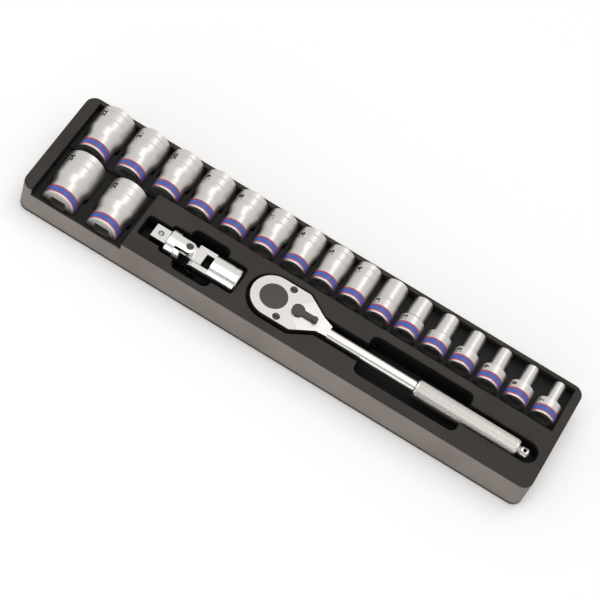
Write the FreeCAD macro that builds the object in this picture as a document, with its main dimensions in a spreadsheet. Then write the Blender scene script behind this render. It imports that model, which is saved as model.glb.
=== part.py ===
import FreeCAD, Part
import math
import os
import Sketcher

# Socket set in an open moulded tray: hexagon sockets in two rows, a reversible ratchet and a universal joint.
# All sizes are in millimetres. X runs along the tray, Y towards its back, Z up.
# The origin is the middle of the tray's underside.

# Driving sizes

DRIVING_SIZES = {
    # Tray
    "tray_wall": 2.6,
    "front_wall": 3.6,
    "tray_floor": 2.6,
    "tray_corner": 9.0,
    "foot_round": 2.6,
    "rim_round": 1.6,
    "deck_round": 1.2,
    "left_rim": 10.5,
    "right_rim": 7.4,
    "back_rim": 4.0,
    "front_rim": 8.4,
    "strip": 6.0,
    "bay_land": 4.2,
    "pocket_land": 6.8,
    "bay_wall_drop": 9.0,
    "bed_drop": 3.0,
    "bed_web": 8.0,
    "cradle_gap": 0.3,
    # Sockets
    "smallest_hexagon": 7.0,
    "hexagon_step": 1.0,
    "hexagon_gap": 0.15,
    "nose_growth": 1.26,
    "nose_base": 1.6,
    "wide_nose_growth": 1.15,
    "wide_nose_base": 5.7,
    "least_barrel": 21.4,
    "barrel_flare": 4.6,
    "barrel_length": 15.5,
    "shoulder_length": 2.5,
    "flare_length": 7.0,
    "least_length": 37.0,
    "length_growth": 1.1,
    "length_from": 16.0,
    "square_depth": 15.0,
    "end_chamfer": 0.7,
    "mouth_depth": 1.2,
    "bore_limit": 6.0,
    "bore_step": 0.3,
    "mark_depth": 0.35,
    "mark_width": 0.8,
    "first_mark": 5.5,
    "second_mark": 13.0,
    # Places of the sockets
    "row_start_gap": 3.8,
    "row_end_gap": 0.9,
    "wide_gap": 3.1,
    "slim_gap": 3.65,
    "row_depth_gap": 0.5,
    "back_axis_drop": 6.0,
    "front_axis_drop": 8.0,
    "front_start_gap": 5.1,
    "front_gap": 7.6,
    "front_end_gap": 4.45,
    "front_depth_gap": 1.5,
    # Square drive
    "drive_square": 12.7,
    "square_gap": 0.2,
    "ball_diameter": 4.8,
    "ball_stand": 0.9,
    "ball_fit": 0.05,
    "ball_travel": 0.8,
    "ball_height": 6.5,
    "spring_wall": 0.5,
    "spring_slack": 0.3,
    "ball_well": 3.2,
    # Ratchet
    "head_radius": 18.8,
    "head_thickness": 15.0,
    "head_proud": 2.0,
    "head_shoulder": 23.8,
    "neck_reach": 42.2,
    "neck_width": 14.6,
    "neck_slope": 9.0,
    "shank_width": 10.4,
    "shank_height": 10.4,
    "shank_round": 5.4,
    "shank_lap": 6.0,
    "grip_start": 130.0,
    "grip_length": 94.0,
    "grip_diameter": 15.0,
    "grip_chamfer": 1.2,
    "grip_end_taper": 2.0,
    "knob_length": 8.0,
    "knob_diameter": 10.0,
    "knob_hole": 3.4,
    "cover_thickness": 2.5,
    "head_floor": 2.5,
    "cover_point": 14.3,
    "screw_reach": 10.3,
    "screw_spread": 14.7,
    "screw_head": 6.4,
    "screw_head_height": 1.4,
    "screw_shank": 3.0,
    "screw_length": 7.0,
    "screw_slot": 0.8,
    "disc_diameter": 23.0,
    "running_fit": 0.05,
    "gear_radius": 14.0,
    "tooth_depth": 1.2,
    "tooth_land": 0.6,
    "gear_room": 0.6,
    "gear_end_gap": 0.1,
    "anvil_length": 15.0,
    "pivot_reach": 8.2,
    "lever_disc": 10.7,
    "lever_thickness": 1.8,
    "lever_tail": 17.4,
    "lever_tail_width": 5.0,
    "lever_thumb": 1.2,
    "lever_gap": 0.1,
    "lever_shaft": 6.0,
    "lever_seat": 1.3,
    "pawl_tip_gap": 0.35,
    "pawl_hub": 10.4,
    "pawl_end_gap": 0.4,
    "pawl_flank": 3.0,
    "pawl_room": 1.6,
    "plunger_diameter": 3.0,
    "plunger_length": 3.5,
    "plunger_gap": 0.3,
    "plunger_spring": 5.0,
    # Ratchet pocket
    "pocket_gap": 3.0,
    "slot_gap": 2.5,
    "well_gap": 1.6,
    "well_depth_gap": 2.4,
    "ratchet_end_gap": 6.5,
    "scoop_start": 82.0,
    "scoop_length": 92.0,
    "scoop_reach": 20.0,
    "scoop_depth": 7.0,
    "scoop_corner": 6.0,
    "slot_corner": 9.0,
    # Universal joint
    "joint_diameter": 23.6,
    "joint_axis_drop": 6.0,
    "joint_offset": 3.15,
    "joint_block": 12.0,
    "joint_slot_gap": 0.2,
    "joint_arm": 10.6,
    "joint_pin_offset": 8.5,
    "joint_block_end": 5.4,
    "joint_drive_crotch": 10.3,
    "joint_socket_crotch": 13.2,
    "joint_drive_reach": 27.0,
    "joint_square_length": 13.4,
    "joint_socket_reach": 37.5,
    "joint_pin": 6.2,
    "joint_pin_inset": 0.5,
    "joint_chamfer": 1.0,
    "joint_ring_depth": 0.4,
    "joint_ring_width": 1.2,
    "joint_ring_inset": 5.8,
    # Pocket of the universal joint
    "joint_left_gap": 9.8,
    "joint_right_gap": 1.1,
    "joint_side_gap": 2.4,
    "joint_square_side_gap": 4.2,
    "joint_floor_gap": 0.3,
    "joint_scoop_left": 14.5,
    "joint_scoop_right": 20.0,
    "joint_scoop_reach": 21.5,
    "joint_scoop_depth": 5.0,
    "joint_corner": 3.0,
}

SOCKET_NAMES = [f"socket_{number:02d}" for number in range(7, 25)]
FRONT_ROW = SOCKET_NAMES[:-3:-1]
BACK_ROW = SOCKET_NAMES[-3::-1]
WIDE_SPACED = SOCKET_NAMES[8:]
WIDE_NOSED = SOCKET_NAMES[6:]
MARKED = SOCKET_NAMES[7:]

GEAR_TEETH = 36
PAWL_TIP_ANGLE = 31.6
PAWL_FLANK_ANGLE = 35.0

doc = FreeCAD.newDocument("socket_set")


# Sizes that know both their number and their sheet expression

class Size:
    def __init__(self, value, text):
        self.value = value
        self.text = text

    def joined(self, other, sign, value):
        return Size(value, f"({self.text} {sign} {other.text})")

    def __add__(self, other):
        other = as_size(other)
        return self.joined(other, "+", self.value + other.value)

    def __sub__(self, other):
        other = as_size(other)
        return self.joined(other, "-", self.value - other.value)

    def __mul__(self, other):
        other = as_size(other)
        return self.joined(other, "*", self.value * other.value)

    def __truediv__(self, other):
        other = as_size(other)
        return self.joined(other, "/", self.value / other.value)

    def __neg__(self):
        return Size(-self.value, f"(0 - {self.text})")


def as_size(number):
    if isinstance(number, Size):
        return number
    return Size(float(number), f"{float(number):.9g}")


def larger(first, second):
    first = as_size(first)
    second = as_size(second)
    return Size(max(first.value, second.value), f"max({first.text}; {second.text})")


def smaller(first, second):
    first = as_size(first)
    second = as_size(second)
    return Size(min(first.value, second.value), f"min({first.text}; {second.text})")


sheet = doc.addObject("Spreadsheet::Sheet", "sizes")
for row, (alias, number) in enumerate(DRIVING_SIZES.items(), start=1):
    sheet.set(f"A{row}", alias)
    sheet.set(f"B{row}", str(number))
    sheet.setAlias(f"B{row}", alias)
doc.recompute()
layout = doc.addObject("App::VarSet", "layout")


class SheetSizes:
    def __getattr__(self, alias):
        return Size(float(sheet.get(alias)), f"sizes.{alias}")


s = SheetSizes()


def named(name, size):
    layout.addProperty("App::PropertyFloat", name)
    setattr(layout, name, size.value)
    layout.setExpression(name, size.text)
    return Size(size.value, f"layout.{name}")


# Helpers for primitives and booleans

AXIS_TURNS = {
    "x": FreeCAD.Rotation(FreeCAD.Vector(0, 1, 0), 90),
    "y": FreeCAD.Rotation(FreeCAD.Vector(1, 0, 0), -90),
    "z": FreeCAD.Rotation(),
}


def place(item, point, turn=None):
    point = [as_size(value) for value in point]
    base = FreeCAD.Vector(*[value.value for value in point])
    item.Placement = FreeCAD.Placement(base, turn or FreeCAD.Rotation())
    for letter, value in zip("xyz", point):
        item.setExpression(f"Placement.Base.{letter}", value.text)


def primitive(kind, label, sizes, point, turn=None):
    item = doc.addObject(kind, label)
    for name, size in sizes.items():
        size = as_size(size)
        setattr(item, name, size.value)
        item.setExpression(name, size.text)
    place(item, point, turn)
    return item


def box(label, low, high):
    low = [as_size(value) for value in low]
    high = [as_size(value) for value in high]
    names = ("Length", "Width", "Height")
    sizes = {name: top - bottom for name, bottom, top in zip(names, low, high)}
    return primitive("Part::Box", label, sizes, low)


def cylinder(label, axis, point, radius, length):
    return primitive("Part::Cylinder", label, {"Radius": radius, "Height": length}, point, AXIS_TURNS[axis])


def cone(label, axis, point, first_radius, last_radius, length):
    sizes = {"Radius1": first_radius, "Radius2": last_radius, "Height": length}
    return primitive("Part::Cone", label, sizes, point, AXIS_TURNS[axis])


def ball(label, point, radius):
    return primitive("Part::Sphere", label, {"Radius": radius}, point)


def taper(label, point, length, first, last):
    # A block that narrows along X; first and last give half width, low Z and high Z at its two ends.
    sizes = {
        "Xmin": -as_size(first[0]), "Xmax": first[0], "Ymin": 0, "Ymax": length,
        "Zmin": first[1], "Zmax": first[2],
        "X2min": -as_size(last[0]), "X2max": last[0], "Z2min": last[1], "Z2max": last[2],
    }
    return primitive("Part::Wedge", label, sizes, point, FreeCAD.Rotation(FreeCAD.Vector(0, 0, 1), -90))


def fuse(label, items, refine=True):
    item = doc.addObject("Part::MultiFuse", label)
    item.Shapes = items
    item.Refine = refine
    return item


def common(label, items):
    item = doc.addObject("Part::MultiCommon", label)
    item.Shapes = items
    return item


def cut(label, base, tools):
    item = doc.addObject("Part::Cut", label)
    item.Base = base
    item.Tool = tools[0] if len(tools) == 1 else fuse(label + "_tools", tools, refine=False)
    return item


# Helpers for sketched bodies

def sketch_on(body, name, role, lift=0):
    sketch = body.newObject("Sketcher::SketchObject", name)
    plane = [item for item in body.Origin.OriginFeatures if item.Role == role][0]
    sketch.AttachmentSupport = [(plane, "")]
    sketch.MapMode = "FlatFace"
    lift = as_size(lift)
    sketch.AttachmentOffset = FreeCAD.Placement(FreeCAD.Vector(0, 0, lift.value), FreeCAD.Rotation())
    sketch.setExpression("AttachmentOffset.Base.z", lift.text)
    return sketch


def fix_point(sketch, geometry, point_index, point):
    for kind, value in zip(("DistanceX", "DistanceY"), point):
        value = as_size(value)
        index = sketch.addConstraint(Sketcher.Constraint(kind, -1, 1, geometry, point_index, value.value))
        sketch.setExpression(f"Constraints[{index}]", value.text)


def polygon(body, name, role, points, lift=0):
    sketch = sketch_on(body, name, role, lift)
    points = [(as_size(across), as_size(up)) for across, up in points]
    corners = [FreeCAD.Vector(across.value, up.value, 0) for across, up in points]
    count = len(corners)
    for index in range(count):
        sketch.addGeometry(Part.LineSegment(corners[index], corners[(index + 1) % count]), False)
    for index in range(count):
        sketch.addConstraint(Sketcher.Constraint("Coincident", index, 2, (index + 1) % count, 1))
    for index, point in enumerate(points):
        fix_point(sketch, index, 1, point)
    return sketch


def circle(body, name, role, centre, radius, lift=0):
    sketch = sketch_on(body, name, role, lift)
    centre = [as_size(value) for value in centre]
    radius = as_size(radius)
    middle = FreeCAD.Vector(centre[0].value, centre[1].value, 0)
    sketch.addGeometry(Part.Circle(middle, FreeCAD.Vector(0, 0, 1), radius.value), False)
    fix_point(sketch, 0, 3, centre)
    index = sketch.addConstraint(Sketcher.Constraint("Radius", 0, radius.value))
    sketch.setExpression(f"Constraints[{index}]", radius.text)
    return sketch


def feature(body, kind, name, sketch, length, upward=True):
    item = body.newObject(kind, name)
    item.Profile = sketch
    length = as_size(length)
    item.Length = length.value
    item.setExpression("Length", length.text)
    item.Reversed = (kind == "PartDesign::Pad") != upward
    return item


def pad(body, name, sketch, length, upward=True):
    return feature(body, "PartDesign::Pad", name, sketch, length, upward)


def pocket(body, name, sketch, length, upward=False):
    return feature(body, "PartDesign::Pocket", name, sketch, length, upward)


def lathe(body, name, points):
    sketch = polygon(body, name + "_profile", "XZ_Plane", points)
    item = body.newObject("PartDesign::Revolution", name)
    item.Profile = sketch
    item.ReferenceAxis = (sketch, ["V_Axis"])
    item.Angle = 360
    return item


def new_body(label):
    return doc.addObject("PartDesign::Body", label)


def square_points(width):
    half = width / 2
    return [(-half, -half), (half, -half), (half, half), (-half, half)]


def hexagon_points(across_flats):
    corner = across_flats / math.sqrt(3)
    turns = [math.radians(60 * index) for index in range(6)]
    return [(corner * math.cos(turn), corner * math.sin(turn)) for turn in turns]


# Sizes that follow from the driving ones

hexagon = {}
nose = {}
barrel = {}
width = {}
length = {}
for index, name in enumerate(SOCKET_NAMES):
    hexagon[name] = named(f"{name}_hexagon", s.smallest_hexagon + s.hexagon_step * index)
    growth = s.wide_nose_growth if name in WIDE_NOSED else s.nose_growth
    base = s.wide_nose_base if name in WIDE_NOSED else s.nose_base
    nose[name] = named(f"{name}_nose", hexagon[name] * growth + base)
    barrel[name] = named(f"{name}_barrel", larger(s.least_barrel, nose[name] - s.barrel_flare))
    width[name] = named(f"{name}_width", larger(nose[name], barrel[name]))
    extra = larger(0, hexagon[name] - s.length_from) * s.length_growth
    length[name] = named(f"{name}_length", s.least_length + extra)

row_span = width[BACK_ROW[0]]
for left, right in zip(BACK_ROW, BACK_ROW[1:]):
    gap = s.wide_gap if left in WIDE_SPACED else s.slim_gap
    row_span = named(f"row_to_{right}", row_span + gap + width[right])
bay_width = s.front_start_gap + width[FRONT_ROW[0]] + s.front_gap + width[FRONT_ROW[1]] + s.front_end_gap
bay_width = named("bay_width", bay_width)
joint_pocket_length = s.joint_left_gap + s.joint_square_length + s.joint_drive_reach
joint_pocket_length = joint_pocket_length + s.joint_socket_reach + s.joint_right_gap
joint_pocket_length = named("joint_pocket_length", joint_pocket_length)
ratchet_reach = named("ratchet_reach", s.grip_start + s.grip_length + s.knob_length)
platform_length = s.bay_land + joint_pocket_length + s.pocket_land + s.pocket_gap + s.head_radius
platform_length = named("platform_length", platform_length + ratchet_reach + s.ratchet_end_gap)
row_length = s.row_start_gap + row_span + s.row_end_gap
inside_length = named("inside_length", larger(row_length, bay_width + platform_length))
tray_length = named("tray_length", s.left_rim + inside_length + s.right_rim)

channel_depth = named("channel_depth", length[BACK_ROW[0]] + s.row_depth_gap * 2)
head_pocket_width = named("head_pocket_width", (s.head_radius + s.pocket_gap) * 2)
tray_width = s.back_rim + channel_depth + s.strip + head_pocket_width + s.front_rim
tray_width = named("tray_width", tray_width)
tray_height = s.tray_floor + s.well_depth_gap + s.anvil_length + s.head_thickness - s.head_proud
tray_height = named("tray_height", tray_height)

left_end = named("left_end", -tray_length / 2)
inner_left = named("inner_left", left_end + s.left_rim)
inner_right = named("inner_right", inner_left + inside_length)
bay_right = named("bay_right", inner_left + bay_width)
back_inside = named("back_inside", tray_width / 2 - s.back_rim)
far_ends = named("far_ends", back_inside - s.row_depth_gap)
channel_front = named("channel_front", back_inside - channel_depth)
front_inside = named("front_inside", s.front_wall - tray_width / 2)
back_axis = named("back_axis", tray_height - s.back_axis_drop)
front_axis = named("front_axis", tray_height - s.front_axis_drop)

socket_x = {BACK_ROW[0]: named("row_start", inner_left + s.row_start_gap + width[BACK_ROW[0]] / 2)}
for left, right in zip(BACK_ROW, BACK_ROW[1:]):
    gap = s.wide_gap if left in WIDE_SPACED else s.slim_gap
    step = (width[left] + width[right]) / 2 + gap
    socket_x[right] = named(f"{right}_x", socket_x[left] + step)
first_x = inner_left + s.front_start_gap + width[FRONT_ROW[0]] / 2
socket_x[FRONT_ROW[0]] = named("front_first_x", first_x)
second_x = bay_right - s.front_end_gap - width[FRONT_ROW[1]] / 2
socket_x[FRONT_ROW[1]] = named("front_second_x", second_x)
socket_y = {name: named(f"{name}_y", far_ends - length[name]) for name in BACK_ROW}
socket_z = {name: back_axis for name in BACK_ROW}
for name in FRONT_ROW:
    socket_y[name] = named(f"{name}_y", front_inside + s.front_depth_gap)
    socket_z[name] = front_axis

joint_pocket_left = named("joint_pocket_left", bay_right + s.bay_land)
joint_pocket_right = named("joint_pocket_right", joint_pocket_left + joint_pocket_length)
joint_x = joint_pocket_left + s.joint_left_gap + s.joint_square_length + s.joint_drive_reach
joint_x = named("joint_x", joint_x)
ratchet_y = named("ratchet_y", channel_front - s.strip - s.pocket_gap - s.head_radius)
joint_y = named("joint_y", ratchet_y - s.joint_offset)
joint_z = named("joint_z", tray_height - s.joint_axis_drop)
head_x = named("head_x", joint_pocket_right + s.pocket_land + s.pocket_gap + s.head_radius)
head_z = named("head_z", tray_height + s.head_proud - s.head_thickness)
handle_z = named("handle_z", head_z + s.head_thickness / 2)
pivot_x = named("pivot_x", head_x + s.gear_radius + s.pivot_reach)
finished = {}


# Sockets: turned outside, square broached from the drive end, hexagon from the nose

def make_socket(name):
    body = new_body(name)
    end = length[name]
    nose_radius = nose[name] / 2
    barrel_radius = barrel[name] / 2
    wide_nose = nose[name].value > barrel[name].value
    shoulder = s.barrel_length + (s.flare_length if wide_nose else s.shoulder_length)
    hexagon_floor = shoulder if wide_nose else s.square_depth
    lead = hexagon[name] / 2 - s.mouth_depth
    bore = smaller(lead - s.bore_step, s.bore_limit)
    mouth = hexagon[name] / math.sqrt(3) + s.hexagon_gap
    points = [
        (bore, 0),
        (barrel_radius - s.end_chamfer, 0),
        (barrel_radius, s.end_chamfer),
        (barrel_radius, s.barrel_length),
        (nose_radius, shoulder),
    ]
    if name in MARKED:
        for place_of_mark in (end - s.second_mark, end - s.first_mark):
            points.append((nose_radius, place_of_mark - s.mark_width / 2))
            points.append((nose_radius - s.mark_depth, place_of_mark))
            points.append((nose_radius, place_of_mark + s.mark_width / 2))
    points.append((nose_radius, end - s.end_chamfer / 2))
    points.append((nose_radius - s.end_chamfer / 2, end))
    points.append((mouth, end))
    points.append((lead, end - s.mouth_depth))
    points.append((bore, end - s.mouth_depth))
    lathe(body, name + "_turned", points)
    hollow = polygon(body, name + "_hexagon", "XY_Plane", hexagon_points(hexagon[name] + s.hexagon_gap), end)
    pocket(body, name + "_hexagon_hole", hollow, end - hexagon_floor)
    drive = polygon(body, name + "_square", "XY_Plane", square_points(s.drive_square + s.square_gap))
    pocket(body, name + "_square_hole", drive, s.square_depth, upward=True)
    place(body, (socket_x[name], socket_y[name], socket_z[name]), AXIS_TURNS["y"])
    return body


for name in SOCKET_NAMES:
    finished[name] = make_socket(name)


# Tray: a rounded block, pockets for the tools, and the underside hollowed to an even wall

block = new_body("tray_block")
half_length = tray_length / 2
half_width = tray_width / 2
outline = [
    (-half_length, -half_width),
    (half_length, -half_width),
    (half_length, half_width),
    (-half_length, half_width),
]
block_pad = pad(block, "tray_blank", polygon(block, "tray_outline", "XY_Plane", outline), tray_height)
doc.recompute()


def edges_where(item, test):
    return [f"Edge{number}" for number, edge in enumerate(item.Shape.Edges, start=1) if test(edge)]


def round_edges(body, name, base, test, radius):
    item = body.newObject("PartDesign::Fillet", name)
    item.Base = (base, edges_where(base, test))
    item.Radius = radius.value
    item.setExpression("Radius", radius.text)
    doc.recompute()
    return item


def is_upright(edge):
    return edge.BoundBox.ZLength > tray_height.value / 2


def is_low(edge):
    return edge.BoundBox.ZMax < 0.001


def is_high(edge):
    return edge.BoundBox.ZMin > tray_height.value - 0.001


corners = round_edges(block, "tray_corners", block_pad, is_upright, s.tray_corner)
foot = round_edges(block, "tray_foot", corners, is_low, s.foot_round)
round_edges(block, "tray_rim", foot, is_high, s.rim_round)

above = named("above", tray_height + s.head_thickness)
back_bed = named("back_bed", back_axis - s.bed_drop)
front_bed = named("front_bed", front_axis - s.bed_drop)
grip_floor = named("grip_floor", handle_z - s.grip_diameter / 2 - s.cradle_gap)
slot_half = named("slot_half", s.grip_diameter / 2 + s.slot_gap)
head_half = named("head_half", s.head_radius + s.pocket_gap)
neck_x = named("neck_x", head_x + s.neck_reach)
shoulder_x = named("shoulder_x", head_x + s.head_shoulder)
ratchet_end = named("ratchet_end", head_x + ratchet_reach + s.ratchet_end_gap)
joint_floor = named("joint_floor", joint_z - s.joint_diameter / 2 - s.joint_floor_gap)
joint_half = named("joint_half", s.joint_diameter / 2 + s.joint_side_gap)
square_half = named("square_half", s.drive_square / 2 + s.joint_square_side_gap)
square_pocket_end = joint_x - s.joint_drive_reach - s.joint_side_gap


def cradle(name, set_name, grow):
    wide_nose = nose[name].value > barrel[name].value
    start = socket_y[name] - s.row_depth_gap - grow
    end = socket_y[name] + length[name] + s.row_depth_gap + grow
    if wide_nose:
        split = socket_y[name] + s.barrel_length - s.cradle_gap - grow
    else:
        split = socket_y[name] + s.barrel_length + s.shoulder_length + s.cradle_gap + grow
    overlap = s.cradle_gap
    centre = (socket_x[name], start, socket_z[name])
    low = cylinder(f"{set_name}_{name}_barrel", "y", centre, barrel[name] / 2 + s.cradle_gap + grow,
                   split - start + (overlap if wide_nose else 0))
    centre = (socket_x[name], split - (0 if wide_nose else overlap), socket_z[name])
    high = cylinder(f"{set_name}_{name}_nose", "y", centre, nose[name] / 2 + s.cradle_gap + grow,
                    end - split + (0 if wide_nose else overlap))
    return [low, high]


def rounded_space(label, low, high, floor, corner, grow):
    # A box, open at the top, with rounded upright corners.
    radius = corner + grow
    x_low, y_low = [value - grow for value in low]
    x_high, y_high = [value + grow for value in high]
    items = [
        box(label + "_long", (x_low + radius, y_low, floor - grow), (x_high - radius, y_high, above)),
        box(label + "_wide", (x_low, y_low + radius, floor - grow), (x_high, y_high - radius, above)),
    ]
    for number, x in enumerate((x_low + radius, x_high - radius)):
        for letter, y in zip("ab", (y_low + radius, y_high - radius)):
            centre = (x, y, floor - grow)
            corner_label = f"{label}_corner_{number}{letter}"
            items.append(cylinder(corner_label, "z", centre, radius, above - floor + grow))
    return items


def ratchet_pocket(label, grow):
    low = head_z - grow
    centre = (head_x, ratchet_y, low)
    items = [cylinder(label + "_head", "z", centre, head_half + grow, above - low)]
    items.append(box(label + "_shoulder", (head_x, ratchet_y - head_half - grow, low),
                     (shoulder_x, ratchet_y + head_half + grow, above)))
    items.append(taper(label + "_taper", (shoulder_x, ratchet_y, 0), neck_x - shoulder_x,
                       (head_half + grow, low, above), (slot_half + grow, low, above)))
    items += rounded_space(label + "_slot", (head_x, ratchet_y - slot_half),
                           (ratchet_end, ratchet_y + slot_half), grip_floor, s.slot_corner, grow)
    return items


def joint_pocket(label, grow):
    items = rounded_space(label + "_barrel", (square_pocket_end, joint_y - joint_half),
                          (joint_pocket_right, joint_y + joint_half), joint_floor, s.joint_corner, grow)
    items += rounded_space(label + "_square", (joint_pocket_left, joint_y - square_half),
                           (joint_x, joint_y + square_half), joint_floor, s.joint_corner, grow)
    return items


def tray_spaces(label, grow):
    # The spaces come in groups, one for the sockets, one for the ratchet and one for the universal joint.
    grow = as_size(grow)
    sockets = [box(label + "_channel", (inner_left - grow, channel_front - grow, back_bed - grow),
                   (inner_right + grow, back_inside + grow, above))]
    sockets.append(box(label + "_bay", (inner_left - grow, front_inside - grow, front_bed - grow),
                       (bay_right + grow, channel_front + grow, above)))
    for name in SOCKET_NAMES:
        sockets += cradle(name, label, grow)
    scoop_x = head_x + s.scoop_start
    ratchet = ratchet_pocket(label + "_ratchet", grow)
    ratchet += rounded_space(label + "_ratchet_scoop", (scoop_x, ratchet_y - s.scoop_reach),
                             (scoop_x + s.scoop_length, ratchet_y + s.scoop_reach),
                             grip_floor - s.scoop_depth, s.scoop_corner, grow)
    joint = joint_pocket(label + "_joint", grow)
    joint += rounded_space(label + "_joint_scoop",
                           (joint_x - s.joint_scoop_left, joint_y - s.joint_scoop_reach),
                           (joint_x + s.joint_scoop_right, joint_y + s.joint_scoop_reach),
                           joint_floor - s.joint_scoop_depth, s.scoop_corner, grow)
    return [sockets, ratchet, joint]


def cut_groups(label, base, groups):
    for number, group in enumerate(groups, start=1):
        base = cut(f"{label}_{number}", base, group)
    return base


below = named("below", -s.head_thickness)
well_radius = named("well_radius", s.drive_square / math.sqrt(2) + s.well_gap)
well = cylinder("anvil_well", "z", (head_x, ratchet_y, s.tray_floor), well_radius, tray_height - s.tray_floor)
well_outside = cylinder("well_outside", "z", (head_x, ratchet_y, below), well_radius + s.tray_wall,
                        tray_height - below)
low_front = box("bay_front", (inner_left, below - half_width, tray_height - s.bay_wall_drop),
                (bay_right, front_inside + s.front_depth_gap, above))
under_deck = tray_height - s.tray_wall
under_bed = back_bed - s.bed_web
under_front_bed = front_bed - s.bed_web
wall_left = left_end + s.front_wall
wall_right = half_length - s.front_wall
wall_front = front_inside
wall_back = half_width - s.front_wall
hollow_blank = fuse("underside_blank", [
    box("underside_deck", (bay_right + s.tray_wall, wall_front, below),
        (wall_right, channel_front - s.tray_wall, under_deck)),
    box("underside_bed", (wall_left, channel_front - s.tray_wall - s.cradle_gap, below),
        (wall_right, wall_back, under_bed)),
    box("underside_bay", (wall_left, wall_front, below),
        (bay_right + s.tray_wall * 2, channel_front, under_front_bed)),
])
underside = cut_groups("underside", hollow_blank, tray_spaces("kept", s.tray_wall) + [[well_outside]])
pocketed = cut_groups("tray_pocketed", block, tray_spaces("space", 0) + [[well], [low_front]])
moulding = cut("tray_moulding", pocketed, [underside])
doc.recompute()


def is_pocket_edge(shape, edge):
    if not is_high(edge):
        return False
    faces = [face for face in shape.Faces if any(edge.isSame(other) for other in face.Edges)]
    return any(face.BoundBox.ZLength > s.rim_round.value * 1.5 for face in faces)


finished["tray"] = doc.addObject("Part::Fillet", "tray")
finished["tray"].Base = moulding
finished["tray"].Edges = [
    (number, s.deck_round.value, s.deck_round.value)
    for number, edge in enumerate(moulding.Shape.Edges, start=1) if is_pocket_edge(moulding.Shape, edge)]


# Universal joint: two yokes, a block between them and a pin through each yoke

joint_radius = s.joint_diameter / 2
arm_half = s.joint_arm / 2
slot_open = s.joint_block / 2 + s.joint_slot_gap
pin_radius = s.joint_pin / 2
pin_end = joint_radius - s.joint_pin_inset


def joint_point(x, y=0, z=0):
    return (joint_x + x, joint_y + y, joint_z + z)


def yoke_arms(label, pin_x, root_x, upright):
    # Two arms cut from a round bar and rounded about the pin; upright arms stand above and below the axis.
    leftward = root_x.value < pin_x.value
    flat_low, flat_high = (root_x, pin_x) if leftward else (pin_x, root_x)
    low_x = root_x if leftward else pin_x - arm_half
    high_x = pin_x + arm_half if leftward else root_x
    bar = cylinder(label + "_bar", "x", joint_point(low_x), joint_radius, high_x - low_x)
    if upright:
        flat = box(label + "_flat", joint_point(flat_low, -arm_half, -joint_radius),
                   joint_point(flat_high, arm_half, joint_radius))
        tip = cylinder(label + "_tip", "z", joint_point(pin_x, 0, -joint_radius), arm_half, s.joint_diameter)
        slot = box(label + "_slot", joint_point(low_x - 1, -joint_radius, -slot_open),
                   joint_point(high_x + 1, joint_radius, slot_open))
    else:
        flat = box(label + "_flat", joint_point(flat_low, -joint_radius, -arm_half),
                   joint_point(flat_high, joint_radius, arm_half))
        tip = cylinder(label + "_tip", "y", joint_point(pin_x, -joint_radius, 0), arm_half, s.joint_diameter)
        slot = box(label + "_slot", joint_point(low_x - 1, -slot_open, -joint_radius),
                   joint_point(high_x + 1, slot_open, joint_radius))
    rounded = common(label + "_rounded", [bar, fuse(label + "_shape", [flat, tip])])
    return cut(label + "_arms", rounded, [slot])


ball_radius = s.ball_diameter / 2
square_side = s.drive_square / 2
shoulder_left = -s.joint_drive_reach
square_left = shoulder_left - s.joint_square_length
ball_x = square_left + s.ball_height
ball_centre = square_side + s.ball_stand - ball_radius
ball_hole_floor = -square_side + s.ball_well
spring_radius = ball_radius - s.spring_slack
drive_pin_x = -s.joint_pin_offset
drive_root = drive_pin_x - s.joint_drive_crotch
drive_arms = yoke_arms("drive_yoke", drive_pin_x, drive_root - s.joint_chamfer, True)
drive_solid = fuse("drive_yoke_solid", [
    drive_arms,
    cylinder("drive_yoke_barrel", "x", joint_point(shoulder_left + s.joint_chamfer), joint_radius,
             drive_root - shoulder_left - s.joint_chamfer),
    cone("drive_yoke_shoulder", "x", joint_point(shoulder_left), joint_radius - s.joint_chamfer, joint_radius,
         s.joint_chamfer),
    box("drive_yoke_square", joint_point(square_left, -square_side, -square_side),
        joint_point(shoulder_left + s.joint_chamfer, square_side, square_side)),
])
finished["joint_drive_yoke"] = cut("joint_drive_yoke", drive_solid, [
    cylinder("drive_yoke_pin_hole", "z", joint_point(drive_pin_x, 0, -s.joint_diameter), pin_radius,
             s.joint_diameter * 2),
    cylinder("drive_yoke_ball_hole", "z", joint_point(ball_x, 0, ball_hole_floor), ball_radius + s.ball_fit,
             s.drive_square),
])
socket_arms = yoke_arms("socket_yoke", as_size(0), s.joint_socket_crotch + s.joint_chamfer, False)
ring_x = s.joint_socket_reach - s.joint_ring_inset
ring_radius = joint_radius - s.joint_ring_depth
socket_solid = fuse("socket_yoke_solid", [
    socket_arms,
    cylinder("socket_yoke_barrel", "x", joint_point(s.joint_socket_crotch), joint_radius,
             ring_x - s.joint_ring_width - s.joint_socket_crotch),
    cylinder("socket_yoke_ring", "x", joint_point(s.joint_socket_crotch), ring_radius,
             ring_x - s.joint_socket_crotch + 1),
    cylinder("socket_yoke_lip", "x", joint_point(ring_x), joint_radius, s.joint_ring_inset - s.joint_chamfer),
    cone("socket_yoke_end", "x", joint_point(s.joint_socket_reach - s.joint_chamfer), joint_radius,
         joint_radius - s.joint_chamfer, s.joint_chamfer),
])
socket_square = square_side + s.square_gap / 2
finished["joint_socket_yoke"] = cut("joint_socket_yoke", socket_solid, [
    cylinder("socket_yoke_pin_hole", "y", joint_point(0, -s.joint_diameter, 0), pin_radius,
             s.joint_diameter * 2),
    box("socket_yoke_square",
        joint_point(s.joint_socket_reach - s.square_depth, -socket_square, -socket_square),
        joint_point(s.joint_socket_reach + 1, socket_square, socket_square)),
])
block_half = s.joint_block / 2
block_left = drive_pin_x - s.joint_block_end
hole_radius = pin_radius + s.running_fit
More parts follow.
